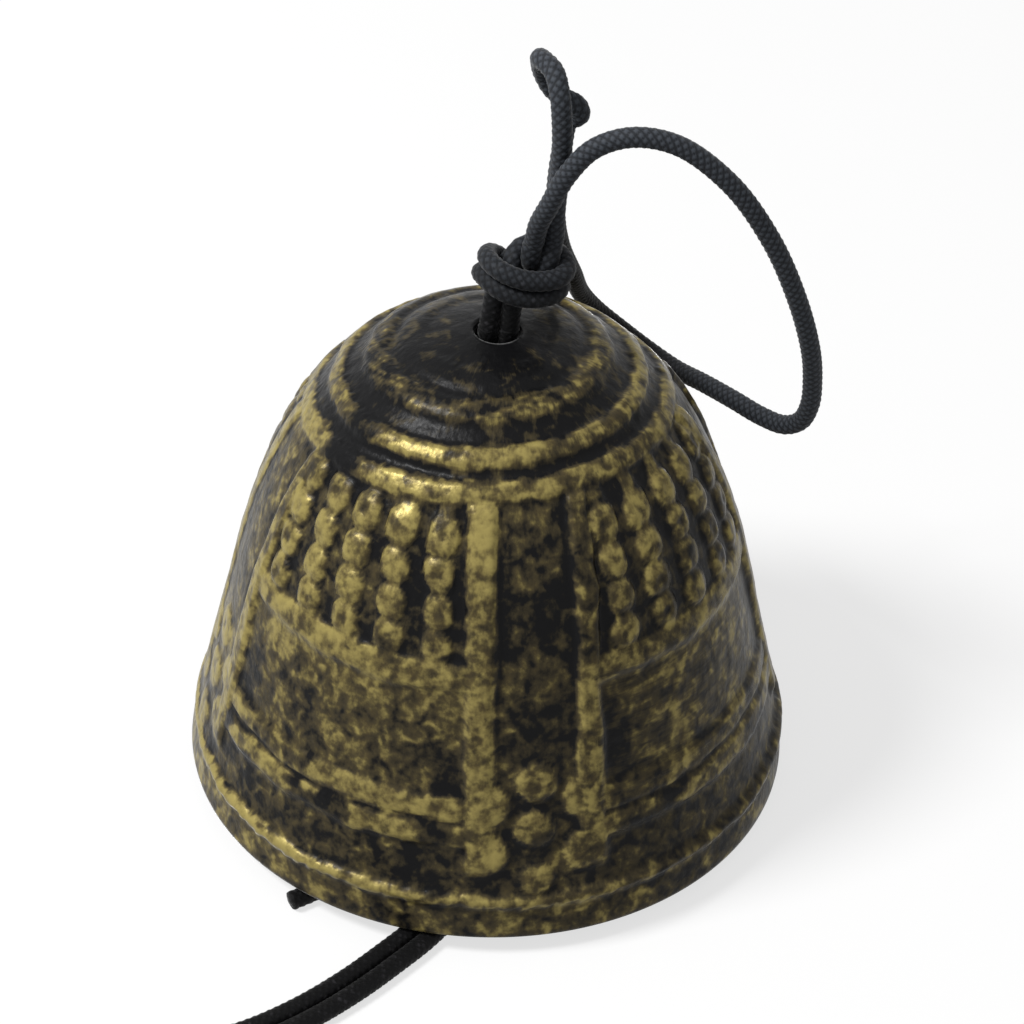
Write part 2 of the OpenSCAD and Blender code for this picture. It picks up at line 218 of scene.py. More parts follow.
def frames(line):
    """Two directions across the line at each of its points, carried along without twist."""
    ahead = unit(np.gradient(line, axis=0))
    side = np.empty_like(line)
    last = np.array([0.31, 0.95, 0.02])
    for i, t in enumerate(ahead):
        last = last - (last @ t) * t
        last = last / np.linalg.norm(last)
        side[i] = last
    return side, np.cross(ahead, side)


def beside(points, off):
    """A flat route moved sideways, to the left of the way it runs."""
    p = np.asarray(points, float)
    ahead = np.array([p[min(i + 1, len(p) - 1)] - p[max(i - 1, 0)] for i in range(len(p))])
    side = np.cross([0, 0, 1], ahead)
    side[0] = (1, 0, 0)
    return p + off * unit(side)


# ---------------------------------------------------------------- meshes
def new_mesh(name, verts, faces, values=None):
    """An object of these points, in millimetres of the row frame, with smooth faces.
    values are numbers or vectors at its points, which its material reads by name."""
    mesh = bpy.data.meshes.new(name)
    mesh.from_pydata((np.asarray(verts) * MM).tolist(), [], [list(map(int, f)) for f in faces])
    mesh.shade_smooth()
    for key, data in (values or {}).items():
        data = np.asarray(data, np.float32)
        kind = "FLOAT_VECTOR" if data.ndim == 2 else "FLOAT"
        field = "vector" if data.ndim == 2 else "value"
        mesh.attributes.new(key, kind, "POINT").data.foreach_set(field, data.ravel())
    piece = bpy.data.objects.new(name, mesh)
    bpy.context.scene.collection.objects.link(piece)
    return piece


def grid_faces(rows, columns):
    """Quads of a grid of points, row after row, whose last column joins its first."""
    faces = []
    for i in range(rows - 1):
        for j in range(columns):
            k = (j + 1) % columns
            a, b = i * columns, (i + 1) * columns
            faces.append((a + j, a + k, b + k, b + j))
    return faces


def ring_faces(rows, columns):
    """Quads of a closed grid whose last row joins its first, as on a ring or a shell."""
    faces = grid_faces(rows, columns)
    last = (rows - 1) * columns
    faces += [(last + j, last + (j + 1) % columns, (j + 1) % columns, j) for j in range(columns)]
    return faces


# Braid: carriers cross in two directions and make a diamond lattice. The lay is the length of
# one turn of a carrier, and the cord has its own radius where the braid is middling high.
BRAID_CARRIERS = 6
BRAID_LAY = 5.0
BRAID_DEPTH, BRAID_MIDDLE = 0.1, 0.55
BRAID_SIDES = 32
BRAID_STEP = 0.13


def braid(turn, along):
    """How far the braid stands out, from 0 in its gaps to 1 on a strand's crown."""
    right = BRAID_CARRIERS * (turn + 2 * np.pi * along / BRAID_LAY)
    left = BRAID_CARRIERS * (turn - 2 * np.pi * along / BRAID_LAY)
    over = 0.5 + 0.5 * np.sin((right + left) / 2) * np.sin((right - left) / 2)
    crown_right = np.abs(np.cos(right / 2))
    crown_left = np.abs(np.cos(left / 2))
    return over * crown_right + (1 - over) * crown_left


def cord_mesh(name, line):
    """A braided tube round a line of ring centres, with slightly domed ends."""
    side, up = frames(line)
    along = run_along(line)
    turn = np.linspace(0, 2 * np.pi, BRAID_SIDES, endpoint=False)
    high = braid(turn[None, :], along[:, None])
    r = CORD_R * (1 + BRAID_DEPTH * (high - BRAID_MIDDLE))
    rings = (
        line[:, None, :]
        + (r * np.cos(turn))[..., None] * side[:, None, :]
        + (r * np.sin(turn))[..., None] * up[:, None, :]
    )
    wide = np.ones_like(high)
    lay = np.stack([CORD_R * np.cos(turn) * wide, CORD_R * np.sin(turn) * wide,
                    along[:, None] * wide], axis=-1)
    faces = grid_faces(len(line), BRAID_SIDES)
    ends = []
    for ring, inside in ((0, 1), (len(line) - 1, len(line) - 2)):
        centre = high.size + len(ends)
        loop = [ring * BRAID_SIDES + k for k in range(BRAID_SIDES)]
        if ring == 0:
            loop = loop[::-1]
        faces += [(loop[k], loop[(k + 1) % BRAID_SIDES], centre) for k in range(BRAID_SIDES)]
        ends.append(line[ring] + 0.25 * CORD_R * unit(line[ring] - line[inside]))
    return new_mesh(name, np.concatenate([rings.reshape(-1, 3), ends]), faces, {
        "braid": np.concatenate([high.ravel(), [0.5, 0.5]]),
        "lay": np.concatenate([lay.reshape(-1, 3), np.zeros((2, 3))]),
    })


def joined(name, pieces):
    """One object from several, which keeps their point values."""
    with bpy.context.temp_override(
        active_object=pieces[0], selected_editable_objects=pieces, object=pieces[0]
    ):
        bpy.ops.object.join()
    pieces[0].name = name
    return pieces[0]


# ---------------------------------------------------------------- node helpers
class Shader:
    """Short ways to build one material's nodes."""

    def __init__(self, name):
        self.material = bpy.data.materials.new(name)
        self.material.use_nodes = True
        self.nodes = self.material.node_tree.nodes
        self.links = self.material.node_tree.links
        self.surface = self.nodes["Principled BSDF"]

    def node(self, kind, inputs=None, **settings):
        """A new node with these inputs and settings."""
        made = self.nodes.new(kind)
        for key, value in settings.items():
            setattr(made, key, value)
        for key, value in (inputs or {}).items():
            self.put(made.inputs[key], value)
        return made

    def put(self, socket, value):
        """Links a socket to another one, or sets its value."""
        if isinstance(value, bpy.types.NodeSocket):
            self.links.new(value, socket)
        else:
            socket.default_value = value

    def set(self, **values):
        """Sets inputs of the surface, named with _ in place of spaces."""
        for key, value in values.items():
            self.put(self.surface.inputs[key.replace("_", " ")], value)

    def value(self, name):
        """A number kept at the mesh's points."""
        return self.node("ShaderNodeAttribute", attribute_name=name).outputs["Fac"]

    def vector(self, name):
        """A vector kept at the mesh's points."""
        return self.node("ShaderNodeAttribute", attribute_name=name).outputs["Vector"]

    def place(self):
        """Places in the object, in metres."""
        return self.node("ShaderNodeTexCoord").outputs["Object"]

    def math(self, operation, a, b=0.0, c=0.0):
        """The result of one operation on up to three numbers."""
        made = self.node("ShaderNodeMath", operation=operation)
        for socket, value in zip(made.inputs, (a, b, c)):
            self.put(socket, value)
        return made.outputs[0]

    def noise(self, vector, scale, detail=4.0, roughness=0.55, distortion=0.0):
        """Noise from 0 to 1; scale is how many waves it has in one unit."""
        made = self.node("ShaderNodeTexNoise", {
            "Vector": vector, "Scale": scale, "Detail": detail, "Roughness": roughness,
            "Distortion": distortion,
        })
        return made.outputs["Fac"]

    def step(self, value, low, high):
        """0 below low, 1 above high, smooth between."""
        return self.node("ShaderNodeMapRange", {
            "Value": value, "From Min": low, "From Max": high,
        }, interpolation_type="SMOOTHSTEP").outputs["Result"]

    def mix(self, share, a, b):
        """Colour a where the share is 0, b where it is 1."""
        made = self.node("ShaderNodeMix", data_type="RGBA")
        for socket, value in ((made.inputs[0], share), (made.inputs[6], a), (made.inputs[7], b)):
            self.put(socket, value)
        return made.outputs[2]

    def bump(self, height, strength, distance, below=None):
        """A normal bent by a height, on top of the normal below it."""
        made = self.node("ShaderNodeBump", {
            "Height": height, "Strength": strength, "Distance": distance,
        })
        if below is not None:
            self.links.new(below, made.inputs["Normal"])
        return made.outputs["Normal"]


def gilt_iron():
    """Black cast iron with brass paint rubbed over what stands out."""
    s = Shader("gilt_iron")
    place = s.place()
    blobs = s.noise(place, 600, 1.2, 0.5, 0.5)
    strokes = s.noise(s.vector("brush"), 1.6, 3, 0.6)
    grains = s.noise(place, 2200, 2, 0.5)
    # The gilt values also carry painted light, shade and sheen from the casting's mesh.
    gold_at = s.value("gilt")
    for noise, weight in ((blobs, 1.6), (s.noise(place, 190, 2, 0.5), 0.7), (strokes, 0.7),
                          (grains, 0.25)):
        gold_at = s.math("MULTIPLY_ADD", s.math("SUBTRACT", noise, 0.5), weight, gold_at)
    share = s.step(gold_at, 0.28, 0.84)
    dust = s.step(gold_at, 0.02, 0.42)
    mottle = s.noise(place, 900, 2.5, 0.6)
    thick = s.math("MULTIPLY_ADD", s.math("SUBTRACT", gold_at, 0.85), 0.55, mottle)
    tone = s.step(thick, 0.16, 0.82)
    gold = s.mix(tone, (0.085, 0.064, 0.028, 1), (0.34, 0.275, 0.09, 1))
    iron = s.mix(dust, (0.0045, 0.0045, 0.005, 1), (0.046, 0.037, 0.02, 1))
    s.set(
        Base_Color=s.mix(share, iron, gold),
        Metallic=s.math("MULTIPLY", share, 0.27),
        Specular_IOR_Level=0.1,
        Roughness=s.math("MULTIPLY_ADD", grains, 0.3, 0.2),
        Sheen_Weight=0.9,
        Sheen_Roughness=0.2,
    )
    rough = s.bump(s.noise(place, 900, 2, 0.5), 0.28, 0.0003)
    s.set(Normal=s.bump(gold_at, 0.2, 0.00015, rough))
    return s.material


def black_cord():
    """Black braided polyester, greyer above the crown knot and on the loop's right arc as painted
    light, with painted highlights on the braid's crowns and painted shade in its gaps.
    """
    s = Shader("black_cord")
    place = s.place()
    fibres = s.noise(s.vector("lay"), 9, 3, 0.7)
    # The braid's crowns are painted lighter than its gaps: painted highlights and painted shade.
    high = s.step(s.value("braid"), 0.25, 0.95)
    at = s.node("ShaderNodeSeparateXYZ", {"Vector": place}).outputs
    # Painted light: the cord is greyer from the crown knot upwards and on the loop's right arc.
    wear_and_painted_light = s.math("MAXIMUM", s.step(at["Z"], 0.056, 0.074), s.step(at["X"], 0.016, 0.028))
    # Painted glints on some of the braid's crowns.
    crown_glints = s.math("MULTIPLY", high, s.step(s.noise(place, 900, 2, 0.6), 0.5, 0.75))
    black = s.mix(crown_glints, (0.0022, 0.0022, 0.0025, 1), (0.028, 0.027, 0.03, 1))
    grey = s.mix(high, (0.02, 0.022, 0.026, 1), (0.062, 0.07, 0.083, 1))
    s.set(
        Base_Color=s.mix(wear_and_painted_light, black, grey),
        Specular_IOR_Level=0.1,
        Roughness=s.math("ADD", 0.4, s.math("MULTIPLY", fibres, 0.3)),
        Normal=s.bump(fibres, 0.4, 0.0001),
        Sheen_Weight=0.15,
        Sheen_Roughness=0.4,
    )
    return s.material


def bare_iron():
    """Dark rough iron of the clapper."""
    s = Shader("bare_iron")
    place = s.place()
    grains = s.noise(place, 700, 5, 0.6)
    s.set(
        Base_Color=s.mix(grains, (0.02, 0.02, 0.02, 1), (0.09, 0.085, 0.075, 1)),
        Roughness=s.math("ADD", 0.4, s.math("MULTIPLY", grains, 0.3)),
        Metallic=0.4,
        Normal=s.bump(grains, 0.5, 0.0004),
    )
    return s.material


GILT_IRON, BLACK_CORD, BARE_IRON = gilt_iron(), black_cord(), bare_iron()

# ---------------------------------------------------------------- cords
def dress(piece, material):
    """Gives a piece its material."""
    piece.data.materials.append(material)
    return piece


def free_cord(name, line, node):
    """A cord along a line in the row frame, which stands in for its CAD node and hides it."""
    piece = dress(cord_mesh(name, line), BLACK_CORD)
    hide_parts(node)
    return piece


loop_line = bell_to_row(
    smooth_line(LOOP_ROUTE, BRAID_STEP, before=LOOP_BEFORE, after=LOOP_AFTER))
hanging_loop = free_cord("hanging_loop_cord", loop_line, "hanging_loop")
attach(hanging_loop, "hanger")

strip_points = np.concatenate(
    [beside(STRIP_ROUTE, -PAIR_OFF), STRIP_BIGHT, beside(STRIP_ROUTE, PAIR_OFF)[::-1]]
)
strip_cord = free_cord("strip_cord_braid", smooth_line(strip_points, BRAID_STEP), "strip_cord")
tail_cord = free_cord("tail_cord_braid", smooth_line(TAIL_ROUTE, BRAID_STEP), "tail_cord")

# Both are kept where they lie, in the row frame.
for piece in (strip_cord, tail_cord):
    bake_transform(piece)

# ---------------------------------------------------------------- knots
# The crown knot: the middle of the doubled cord, and the way its two strands lie apart.
CROWN_ROUTE = [
    (0, 0, 53.4, 1, 0, 0),
    (0.3, 0.2, 56, 1, 0, 0),
    (0.5, 0.4, 58.2, 1, -0.2, 0),
    (0.7, 0.2, 60.4, 0.8, -0.5, 0),
    (1, 0.6, 61.8, 0.7, -0.7, 0.1),
    (2.5, 2.3, 62.5, 0.3, -0.3, 0.9),
    (4.4, 2.9, 62.3, 0, 0, 1),
    (6, 1.1, 61.6, 0, 0, 1),
    (5.8, -1.4, 60.9, 0, 0, 1),
    (3.9, -2.8, 60.6, 0, 0, 1),
    (1.5, -3.1, 61, 0, 0, 1),
    (-0.7, -2.3, 61.8, 0, 0, 1),
    (-1.7, -0.3, 62, 0, 0, 1),
    (-1.3, 1.9, 61, 0, 0, 1),
    (0.5, 2.9, 59.6, 0, 0, 1),
    (2.5, 2, 58.9, -0.1, 0.3, 0.9),
    (3.5, 0.2, 60.2, -0.6, 0.7, 0.4),
    (3.8, -0.6, 62.6, -0.9, 0.1, 0),
    (4.3, -0.1, 65, -1, -0.4, 0),
]
# Where the doubled cord goes on to, as the two ends of the loop.
CROWN_AFTER = (4.5, -0.4, 67.5)
# The knots inside the bell.
SMALL_KNOT_TURNS = 2.2


def pair_lines(route, off):
    """The lines of two strands that run beside each other along a route."""
    route = np.asarray(route, float)
    middle = smooth_line(route[:, :3], BRAID_STEP, after=CROWN_AFTER)
    ahead = unit(np.gradient(middle, axis=0))
    corner = [np.argmin(np.linalg.norm(middle - p, axis=1)) for p in route[:, :3]]
    apart = np.stack([np.interp(range(len(middle)), corner, route[:, 3 + k]) for k in range(3)], 1)
    apart = unit(apart - (apart * ahead).sum(axis=1)[:, None] * ahead)
    return middle - off * apart, middle + off * apart


def tighten(lines, rounds=300, step=0.5, thick=1.96, hold=0.02):
    """Strands drawn tight: where they lie nearer than a cord's thickness they push each other
    apart, and they stay smooth and near the route they began on."""
    lines = [even(line, step) for line in lines]
    counts = [len(line) for line in lines]
    strand = np.repeat(range(len(lines)), counts)
    number = np.concatenate([np.arange(n) for n in counts])
    fixed = (number < 3) | (number >= np.array(counts)[strand] - 3)
    along = (strand[:, None] == strand) & (np.abs(number[:, None] - number) * step < 1.3 * CORD_D)
    start = points = np.concatenate(lines)
    for _ in range(rounds):
        gap = points[:, None] - points
        far = np.linalg.norm(gap, axis=2) + 1e-9
        push = np.where((far < thick) & ~along, (thick - far) / 2 / far, 0)
        touching = np.maximum(1, (push > 0).sum(axis=1))[:, None]
        move = 0.9 * (gap * push[..., None]).sum(axis=1) / touching + hold * (start - points)
        move[1:-1] += 0.35 * ((points[:-2] + points[2:]) / 2 - points[1:-1])
        points = points + np.where(fixed[:, None], 0, move)
        ends = np.cumsum(counts)[:-1]
        lines = [even(line, step, len(line)) for line in np.split(points, ends)]
        points = np.concatenate(lines)
    return [smooth_line(line, BRAID_STEP) for line in lines]


def cord_piece(name, lines, node, body):
    """Strands of braided cord along these lines, as one piece in place of a CAD node."""
    strands = [cord_mesh(f"{name}_{k}", line) for k, line in enumerate(lines)]
    piece = dress(joined(name, strands), BLACK_CORD)
    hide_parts(node)
    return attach(piece, body)


def straight(low, high):
    """A straight line between two points."""
    return even(np.array([low, high], float), BRAID_STEP)


def wound(bottom, turns, across):
    """A small knot round an upright strand pair: its two strands, which stand apart along
    across, and the winding, whose ends tuck in between the turns and the pair."""
    across = np.array([*across, 0.0])
    height = 2 * CORD_D + STRAND_GAP
    pair = [straight(way * STRAND_OFF * across + (0, 0, bottom),
                     way * STRAND_OFF * across + (0, 0, bottom + height)) for way in (-1, 1)]
    t = np.linspace(0, 1, 160)
    a = 2 * np.pi * turns * t + 0.6
    out = WRAP_R - 1.3 * (ramp(t, 0.12, 0) + ramp(t, 0.88, 1))
    up = bottom + CORD_R + (height - CORD_D) * (0.5 - 0.5 * np.cos(np.pi * t))
    up = up + 0.35 * np.sin(a + 0.4)
    coil = np.stack([out * np.cos(a) * 1.04, out * np.sin(a) * 0.97, up], axis=1)
    return [*pair, even(coil, BRAID_STEP)]


crown = tighten(pair_lines(CROWN_ROUTE, STRAND_OFF))
cord_piece("crown_knot_braid", [bell_to_row(line) for line in crown], "crown_knot", "hanger")
neck = [straight((x, 0, STOPPER_TOP - 0.2), (x, 0, NECK_TOP)) for x in (-STRAND_OFF, STRAND_OFF)]
cord_piece("neck_cords_braid", [bell_to_row(line) for line in neck], "neck_cords", "hanger")
stopper = wound(STOPPER_BOTTOM, SMALL_KNOT_TURNS, (1, 0))
cord_piece("stopper_knot_braid", [bell_to_row(line) for line in stopper], "stopper_knot", "hanger")

# The clapper hangs on the pair from just inside the knot above it.
below_pivot = np.array([PIVOT[0], PIVOT[1], 0])
pair_top = PIVOT[2] + CORD_R + SEAT_GAP
swing_pair = [straight(below_pivot + (0, y, KNOT_TOP), below_pivot + (0, y, pair_top))
              for y in (-STRAND_OFF, STRAND_OFF)]
cord_piece("clapper_line_braid", swing_pair, "clapper_line", "clapper")
under = [line + below_pivot for line in wound(KNOT_BOTTOM, SMALL_KNOT_TURNS, (0, 1))]
cord_piece("clapper_knot_braid", under, "clapper_knot", "clapper")

# ---------------------------------------------------------------- the casting
# How many points the casting has round it, and how many rows of them up its outside.
AROUND, UP_SIDE = 520, 162
# The moulded rings on the dome are not quite round the axis: radius, how far the middle lies
# to the left and behind, how high, how much paint they hold.
RINGS = ((18.4, 0.8, 1.25, 0.55, 0.92), (15.4, 0.8, 0.7, 0.55, 0.92), (11.4, 0.8, 0.8, 0.5, 0.62),
         (8.0, 0.8, 0.8, 0.25, 0.3))
# Directions round the bell, in degrees: the right, away from the key lamp, where paint comes off
# as painted shade; the front right, where paint is thinned as painted shade; where the rim's
# edge is darker, where the two inner rings fade, where the outer ones are broken, and the middle
# of the band that is worn shallow and given extra paint as painted sheen.
SHADED_SIDE_AZ, SHADED_FRONT_AZ, DARK_RIM_AZ, FADED_AZ, GAP_AZ, WORN_AZ = 335, 300, 215, 195, 214, 182
# The inner rings are those below this radius; the rings and bald spots lie above this height.
INNER_RING_R, DOME_LOW = 12, 38
# The bosses lie closer than the regular pattern: rows by a length, columns by a share.
ROWS_CLOSER, COLUMNS_SHARE = 0.25, 0.96
# One panel was brushed round the bell instead of up and down it, between these two distances
# along its side from the rim.
SWEPT_AZ, SWEPT = BAND_TURN + 315, (15, 29)


def lattice_noise(p, seed):
    """Smooth noise from -1 to 1 at points, from numbers on a cubic lattice of side 1."""
    cell = np.floor(p).astype(np.int64)
    f = p - cell
    f = f * f * (3 - 2 * f)
    total = np.zeros(p.shape[:-1])
    for corner in range(8):
        bits = np.array([corner & 1, corner >> 1 & 1, corner >> 2 & 1])
        c = cell + bits
        h = (c[..., 0] * 73856093) ^ (c[..., 1] * 19349663) ^ (c[..., 2] * 83492791) ^ (seed * 2654435)
        h = (h ^ (h >> 13)) * 1274126177 & 0x7FFFFFFF
        weight = np.prod(np.where(bits, f, 1 - f), axis=-1)
        total += weight * ((h >> 7 & 0xFFFF) / 32767.5 - 1)
    return total


def rough(p, size, seed, octaves=3):
    """Noise of several sizes, the largest of them the one given in millimetres."""
    return sum(
        lattice_noise(p * 2**k / size, seed + k) / 2**k for k in range(octaves)
    ) / 1.75


def ridge(off, half, flat=0.0):
    """A rounded ridge across an offset from its middle, with a flat top."""
    return np.cos(np.clip((np.abs(off) - flat) / (half - flat), 0, 1) * np.pi / 2) ** 2


def side_profile():
    """The plain outer line from the rim's foot to the hole: radius, height, run along it."""
    z = np.linspace(RIM_ROUND, PANEL_TOP, 400)
    r = np.linspace(BORDER_R, HOLE_D / 2, 240)[1:]
    dome = np.stack([r, dome_z(r, WAIST_R, BELL_H)], axis=1)
    line = np.concatenate([np.stack([skin_r(z, WAIST_R, BELL_H), z], axis=1), dome])
    run = run_along(line)
    at = np.linspace(0, run[-1], UP_SIDE)
    return np.interp(at, run, line[:, 0]), np.interp(at, run, line[:, 1]), at


def nearest_turn(az, first, pitch):
    """Angle from the nearest of the directions first, first + pitch ..., in degrees."""
    return (az - first + pitch / 2) % pitch - pitch / 2


def facing(az, middle, low, high):
    """How much a direction faces the middle one: 0 up to a cosine of low, 1 from high on."""
    return ramp(np.cos(np.radians(az - middle)), low, high)


class Relief:
    """The casting's raised pattern: high is how far it stands out from the plain surface, in
    millimetres, and paint is how much of that it holds, from 0 to 1; paint also carries painted
    light, shade and sheen."""

    def __init__(self, az, r, z, p):
        """The plain surface comes as directions in degrees, radii, heights and points."""
        self.az, self.r, self.z, self.p = az, r, z, p
        self.high = np.zeros_like(z)
        self.paint = 0.02 + 0.13 * ramp(PANEL_TOP - z, 0, 2)
        # How much a point faces the right, away from the key lamp, from -1 to 1. The rim, its lip and
        # the wear use it for painted shade on the right and painted light on the left; the panels and
        # the skirt get a little more paint on the right.
        self.side = np.cos(np.radians(az - SHADED_SIDE_AZ))
        # How uneven the pattern's edges are, in millimetres.
        self.wobble = 0.45 * rough(p, 3.4, 11)
        # The upper part of the pattern sits a little off the axis, to the left and behind it.
        aside = ramp(z, 20, 46)
        x, y = p[..., 0] + 0.8 * aside, p[..., 1] - 1.25 * aside
        self.up_r, self.up_az = np.hypot(x, y), np.degrees(np.arctan2(y, x)) % 360
        # Fine ticks across the rings, from -1 to 1.
        around = np.radians(self.up_az) * self.up_r / 0.75
        self.teeth = lattice_noise(np.stack([around, self.up_r / 3, 0 * z], -1), 7)
        self.below_border = ramp(self.up_r - RINGS[0][0], 0.2, 1.2) * (z < PANEL_TOP + 2)
        # The bands narrow upwards less than the bell itself does.
        per_degree = np.radians(1) * (0.5 * r + 13.4)
        self.half_band = BAND_ANGLE / 2 * per_degree
        self.off_band = nearest_turn(az, BAND_TURN, 90) * np.radians(1) * r + 0.3 - 0.5 * aside
        self.in_band = (np.abs(self.off_band) < self.half_band) & (z < PANEL_TOP)

    def lift(self, amount, gold, top=0.4):
        """Raises the surface to this relief, which holds this much paint on its top."""
        self.high = np.maximum(self.high, amount)
        self.paint = np.maximum(self.paint, gold * ramp(amount, 0.06, top))

    def rub(self, where, paint):
        """Leaves this much paint at these places."""
        self.paint = np.where(where, paint, self.paint)

    def grounds(self):
        """What the flat grounds hold."""
        z, side = self.z, self.side
        panel = (z > SKIRT_Z + SKIRT_PITCH) & (z < LEDGE_Z)
        self.rub(panel, 0.46 + 0.28 * ramp(z, 21, 29) + 0.06 * ramp(side, 0, 0.8))
        self.rub(z < SKIRT_Z, 0.32 + 0.1 * ramp(side, 0, 0.8))
        # The rim's edge: more paint on the left and less on the right, as painted light and shade, and
        # less where it is darker.
        dark = facing(self.az, DARK_RIM_AZ, 0.4, 0.9)
        self.rub(z < LIP_Z, 0.7 - 0.25 * side - 0.2 * dark)
        # The panels are worn dark beside the ribs.
        off_rib = np.abs(self.off_band) - self.half_band
        corner = 0.45 * ramp(2.4 - np.abs(off_rib - 2.6), 0, 1.2)
        wear_and_painted_light = ramp(rough(self.p, 14, 31), -0.4, 0.3)
        self.paint -= corner * ramp(z, 15.5, 16.5) * ramp(28.5 - z, 0, 1.5) * wear_and_painted_light
        # The bands are dusty in their middle, and the dome above the panels is bare.
        dusty = 0.24 + 0.12 * ramp(z, 36, 42) - 0.3 * ramp(off_rib + 2.4, 0, 0.8)
        self.rub(self.in_band & (z > LIP_Z + 0.6), dusty)
        self.rub(z > PANEL_TOP - 0.4, 0.02)

    def round_ridges(self):
        """The rim's lip, the two ridges of the skirt and the ledge under the panels' bosses."""
        z, wobble, teeth = self.z, self.wobble, self.teeth
        # The lip holds more paint on the left and less on the right: painted light and shade.
        self.lift(0.7 * ridge(z - LIP_Z + 0.7 * wobble + 0.25 * teeth, 1.15, 0.1),
                  1.05 + 0.3 * teeth - 0.4 * self.side)
        for k in (0, 1):
            broken = 1.0 - (0.85 - 0.3 * k) * ramp(rough(self.p, 5, 21 + k), -0.05, 0.22)
            off = z - SKIRT_Z - k * SKIRT_PITCH + wobble
            self.lift((0.55 - 0.1 * k) * ridge(off, 1.8, 0.8) * ~self.in_band, broken)
        off = z - LEDGE_Z + 0.9 + 1.2 * wobble
        self.lift(0.5 * ridge(off, 2.1, 0.8) * ~self.in_band, 0.92)

    def dome_rings(self):
        """The moulded rings on the dome, which hold the paint unevenly."""
        p, teeth = self.p, self.teeth
        gap = np.exp(-((nearest_turn(self.az, GAP_AZ, 360) / 7) ** 2)) * (self.r > 13)
        for ring, left, behind, tall, gold in RINGS:
            inner = ring < INNER_RING_R
            off = np.hypot(p[..., 0] + left, p[..., 1] - behind) - ring
            off = off * (0.75 + ring / 22) + 0.7 * self.wobble + 0.15 * teeth
            # The rings' paint is thinned on the front right, away from the key lamp, as painted shade.
            hold = gold - 0.8 * gap + 0.15 * teeth - 0.22 * facing(self.az, SHADED_FRONT_AZ, 0.35, 0.9)
            if inner:
                hold = hold + 0.2 * teeth - 0.4 * facing(self.az, FADED_AZ, 0.2, 0.7)
            self.lift(tall * ridge(off, 2.2 if inner else 1.65, 0.65) * (self.z > DOME_LOW), hold)

    def band_ribs(self):
        """The ribs along both edges of each band; the right one thins upwards."""
        z, reach = self.z, self.below_border
        for way in (-1, 1):
            off = self.off_band - way * self.half_band + 0.9 * self.wobble
            narrow = ramp(z, 22, 25) if way > 0 else 0
            self.lift(RIB_RISE * ridge(off, 2.05 - 0.6 * narrow, 0.75) * reach * ramp(z, 7, 9),
                      0.94 - 0.3 * narrow * ramp(z, 25, 36) - 0.12 * ramp(30 - z, 0, 8))

    def bosses(self):
        """The panels' bosses, on low upright bars; some of them have a dimple."""
        z, wobble = self.z, self.wobble
        off_panel = nearest_turn(self.up_az, BAND_TURN + 45, 90) * np.radians(1) * self.up_r
        pitch = BOSS_ANGLE * np.radians(COLUMNS_SHARE) * self.up_r
        row_pitch = BOSS_PITCH - ROWS_CLOSER
        column = np.clip(np.round(off_panel / pitch), -2, 2)
        across = off_panel - column * pitch + 0.8 * wobble
        row = np.clip(np.round((z - LEDGE_Z - BOSS_START) / row_pitch), 0, 3)
        up = (z - LEDGE_Z - BOSS_START - row * row_pitch) * 1.1 + 0.5 * wobble
        span = ramp(z, LEDGE_Z, LEDGE_Z + 1.5) * self.below_border
        self.lift(0.25 * ridge(across, 1.3, 0.5) * span, 0.62, 0.2)
        pad = np.clip(1 - np.abs(across / 1.74) ** 2.6 - np.abs(up / 2.0) ** 2.6, 0, 1) ** 0.6
        pad = pad * self.below_border
        number = np.stack([column, row, np.floor(self.az / 90)], -1)
        marked = ramp(lattice_noise(number * 7.3, 51), -0.3, 0.2)
        dimple = 0.14 * ramp(0.8 - np.hypot(across, up), 0, 0.5) * marked
        self.lift((BOSS_RISE * pad - dimple * (pad > 0)) * (1 + wobble), 0.86)
        self.rub(pad > 0.5, self.paint - 2.2 * dimple)

    def rosettes(self):
        """A ring of petals round a middle one, low on each band; the top petal is dented."""
        petals = [(PETAL_RING_R * math.cos(math.radians(a)),
                   PETAL_RING_R * math.sin(math.radians(a)), 0.18 if a == 90 else 0.05)
                  for a in range(30, 360, 60)]
        for dx, dz, deep in [(0, 0, 0.05), *petals]:
            d = np.hypot(self.off_band - dx, self.z - ROSETTE_Z - dz) + 1.6 * self.wobble
            blob = np.sqrt(np.clip(1 - (d / (PETAL_R * 1.35)) ** 2, 0, 1))
            dent = deep * ramp(0.9 - d, 0, 0.6)
            self.lift(PETAL_RISE * 0.8 * blob - dent, 0.96)
            self.rub(blob > 0.5, self.paint - 1.8 * dent)

    def wear(self):
        """Uneven rubbing all over; painted shade on the lower front and the right, away from the key
        lamp;
        less paint round the hole; the cast skin; and the band on the left, rubbed shallow and brushed
        all over, with paint added as painted sheen."""
        z, p = self.z, self.p
        # Painted shade: the paint is thinned on the front below the dome and on the right, away from
        # the key lamp.
        front_shade = 0.2 * facing(self.az, SHADED_FRONT_AZ, 0.2, 0.8) * ramp(46 - z, 0, 12)
        self.paint = self.paint * (1 - front_shade - 0.08 * ramp(self.side, 0.6, 1))
        self.paint = self.paint + 0.16 * rough(p, 12, 41, 2)
        bald = 0.3 * ramp(rough(p, 16, 61, 2), 0.15, 0.5) * (z > DOME_LOW)
        # Round the hole the paint goes: partly bare iron, partly painted shade under the knot.
        self.paint -= bald + 0.25 * ramp(5.5 - self.r, 0, 2)
        shallow = facing(self.az, WORN_AZ, 0.88, 0.98) * ramp(PANEL_TOP + 3 - z, 0, 3)
